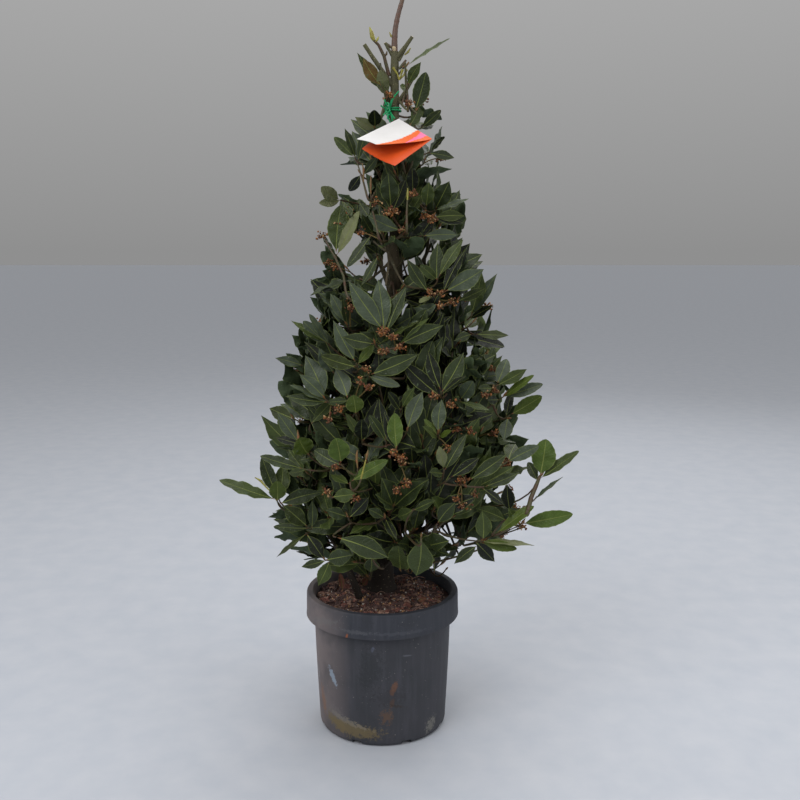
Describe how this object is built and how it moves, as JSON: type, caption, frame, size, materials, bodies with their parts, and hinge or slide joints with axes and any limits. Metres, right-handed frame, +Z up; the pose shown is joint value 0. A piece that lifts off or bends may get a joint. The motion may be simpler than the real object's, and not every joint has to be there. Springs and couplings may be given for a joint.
{
  "type": "potted bay tree clipped to a pyramid",
  "caption": "Evergreen bay shrub clipped to a tall pyramid, growing in a tapered plastic nursery container, with a blank folded swing label tied near its top.",
  "frame": {"origin": "middle of the container's flat underside", "axes": "+Z up along the trunk, +X to the right and -Y towards the viewer as the plant is usually shown"},
  "size_m": [0.5101, 0.434, 1.1772],
  "materials": {
    "pot": "matte",
    "compost": "matte",
    "bark": "matte",
    "foliage": "satin",
    "blossom": "matte",
    "label": "satin",
    "tie": "satin"
  },
  "bodies": {
    "root": {"belt_bough_1": "bark", "belt_bough_2": "bark", "belt_bough_3": "bark", "belt_bough_4": "bark", "belt_bough_5": "bark", "belt_foliage_1": "foliage", "belt_foliage_2": "foliage", "belt_foliage_3": "foliage", "belt_foliage_4": "foliage", "belt_foliage_5": "foliage", "compost": "compost", "crown_foliage_1": "foliage", "crown_foliage_2": "foliage", "label_tie": "tie", "leader": "bark", "neck_foliage_1": "foliage", "neck_foliage_2": "foliage", "neck_foliage_3": "foliage", "pot": "pot", "shoulder_bough_1": "bark", "shoulder_bough_2": "bark", "shoulder_bough_3": "bark", "shoulder_foliage_1": "foliage", "shoulder_foliage_2": "foliage", "shoulder_foliage_3": "foliage", "side_stem": "bark", "skirt_bough_2": "bark", "skirt_bough_3": "bark", "skirt_bough_4": "bark", "skirt_bough_5": "bark", "skirt_foliage_1": "foliage", "skirt_foliage_2": "foliage", "skirt_foliage_3": "foliage", "skirt_foliage_4": "foliage", "skirt_foliage_5": "foliage", "swing_label": "label", "trunk": "bark", "waist_bough_1": "bark", "waist_bough_2": "bark", "waist_bough_3": "bark", "waist_bough_4": "bark", "waist_foliage_1": "foliage", "waist_foliage_2": "foliage", "waist_foliage_3": "foliage", "waist_foliage_4": "foliage"}
  },
  "joints": []
}
